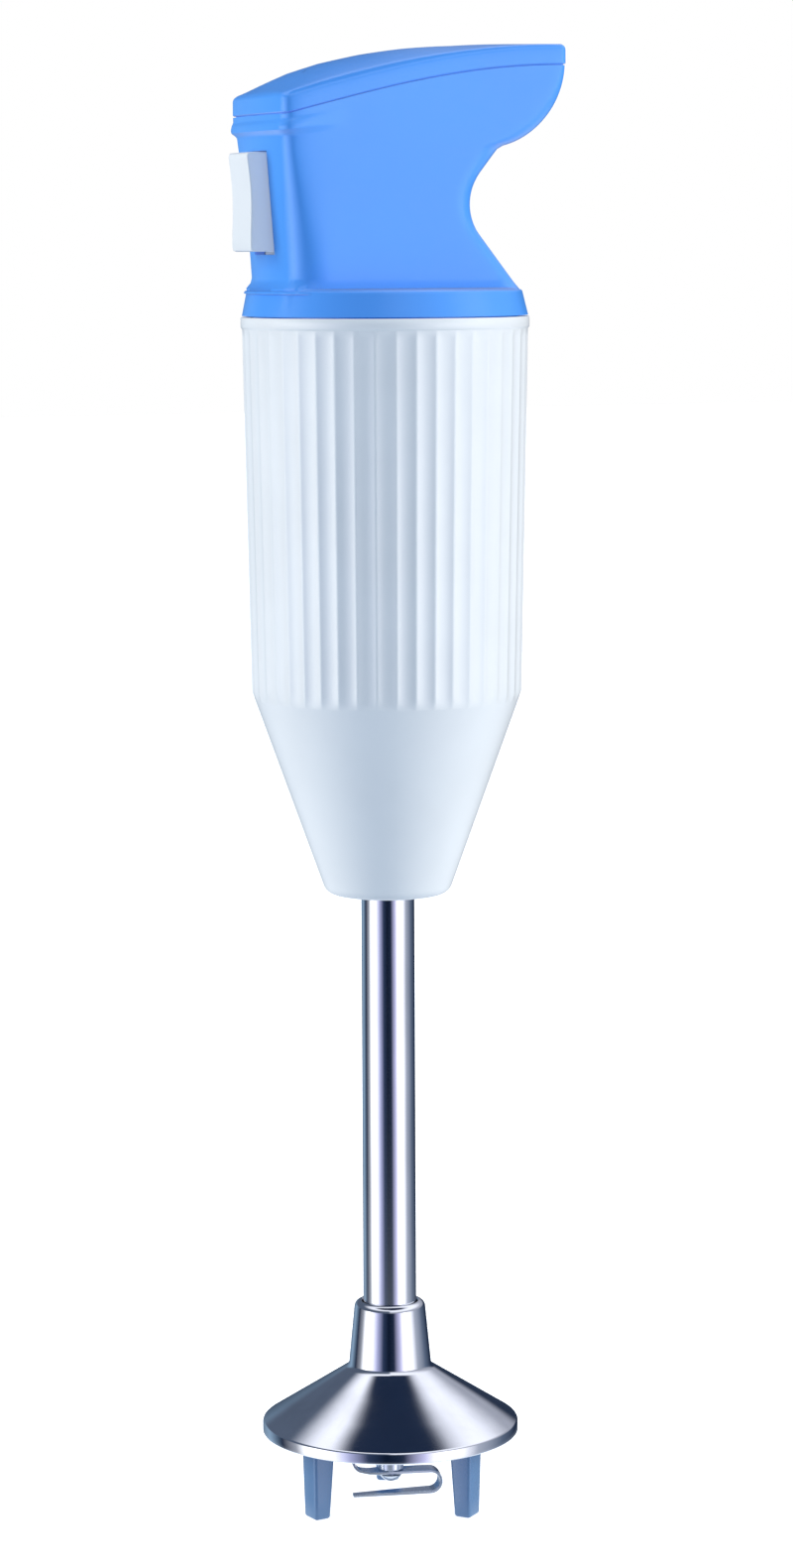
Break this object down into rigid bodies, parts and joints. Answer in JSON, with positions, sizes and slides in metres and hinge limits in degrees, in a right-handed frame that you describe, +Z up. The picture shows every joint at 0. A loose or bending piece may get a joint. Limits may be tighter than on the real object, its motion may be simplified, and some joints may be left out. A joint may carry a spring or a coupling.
{
  "type": "immersion blender",
  "caption": "Hand-held immersion blender: hooked blue head with a press switch, fluted white motor housing, steel tube, legged bell guard and a bent strip blade.",
  "frame": {"origin": "on the shaft axis, in the plane of the three feet", "axes": "+Z up along the shaft; +X towards the beak of the head, away from the switch; +Y across the head"},
  "size_m": [0.0725, 0.065, 0.3307],
  "materials": {
    "blue_shell": "satin moulded plastic",
    "white_shell": "satin moulded plastic",
    "chrome": "polished chrome",
    "polished_steel": "polished steel",
    "leg_plastic": "semi-matt moulded plastic",
    "grey_plastic": "matt moulded plastic",
    "black_plastic": "matt moulded plastic",
    "bare_steel": "zinc plated",
    "lamination_steel": "stacked electrical steel",
    "copper": "enamelled copper",
    "brass": "bare",
    "bronze": "sintered bronze",
    "carbon": "pressed carbon",
    "rubber": "moulded rubber",
    "brown_insulation": "soft insulation",
    "blue_insulation": "soft insulation"
  },
  "bodies": {
    "root": {"head_shell": "blue_shell", "top_cover": "blue_shell", "motor_housing": "white_shell", "shaft_tube": "chrome", "bell_guard": "chrome", "guard_legs": "leg_plastic", "tube_flange": "grey_plastic", "switch_carrier": "grey_plastic", "upper_bracket": "grey_plastic", "lower_bracket": "grey_plastic", "cord_clamp": "grey_plastic", "cord_inlet_bush": "black_plastic", "micro_switch": "black_plastic", "flange_screw_left": "bare_steel", "flange_screw_right": "bare_steel", "clamp_screw_left": "bare_steel", "clamp_screw_right": "bare_steel", "motor_bolt_left": "bare_steel", "motor_bolt_right": "bare_steel", "button_pin": "bare_steel", "upper_bearing": "bare_steel", "lower_bearing": "bare_steel", "brush_spring_left": "bare_steel", "brush_spring_right": "bare_steel", "stator_core": "lamination_steel", "field_coil_left": "copper", "field_coil_right": "copper", "brush_holder_left": "brass", "brush_holder_right": "brass", "suppressor_capacitor": "black_plastic", "upper_shaft_bush": "bronze", "lower_shaft_bush": "bronze", "carbon_brush_left": "carbon", "carbon_brush_right": "carbon", "shaft_seal": "rubber", "motor_mount_ring": "rubber", "live_lead": "brown_insulation", "neutral_lead": "blue_insulation"},
    "rotor": {"armature_shaft": "bare_steel", "armature_core": "lamination_steel", "armature_windings": "copper", "commutator": "copper", "cooling_fan": "black_plastic", "motor_coupling": "grey_plastic", "coupling_spider": "rubber", "shaft_coupling": "grey_plastic", "drive_shaft": "bare_steel", "drive_pin": "bare_steel", "retaining_ring": "bare_steel"},
    "blade_unit": {"blade_hub": "polished_steel", "blade": "polished_steel"},
    "button": {"switch_button": "white_shell"},
    "plunger": {"switch_plunger": "white_shell"}
  },
  "joints": [
    {"name": "rotor_spin", "type": "hinge", "parent": "root", "child": "rotor", "pos_m": [0, 0, 0], "axis": [0, 0, 1], "continuous": true},
    {"name": "blade_pull_off", "type": "slide", "parent": "rotor", "child": "blade_unit", "axis": [0, 0, -1], "range_m": [0, 0.012]},
    {"name": "button_press", "type": "hinge", "parent": "root", "child": "button", "pos_m": [-0.0252, 0, 0.3036], "axis": [0, -1, 0], "range_deg": [0, 5], "stiffness_Nm_per_rad": 0.4},
    {"name": "plunger_slide", "type": "slide", "parent": "root", "child": "plunger", "axis": [1, 0, 0], "range_m": [0, 0.00125]}
  ],
  "couplings": [
    {"joint": "plunger_slide", "follows": "button_press", "m_per_rad": 0.0136}
  ]
}
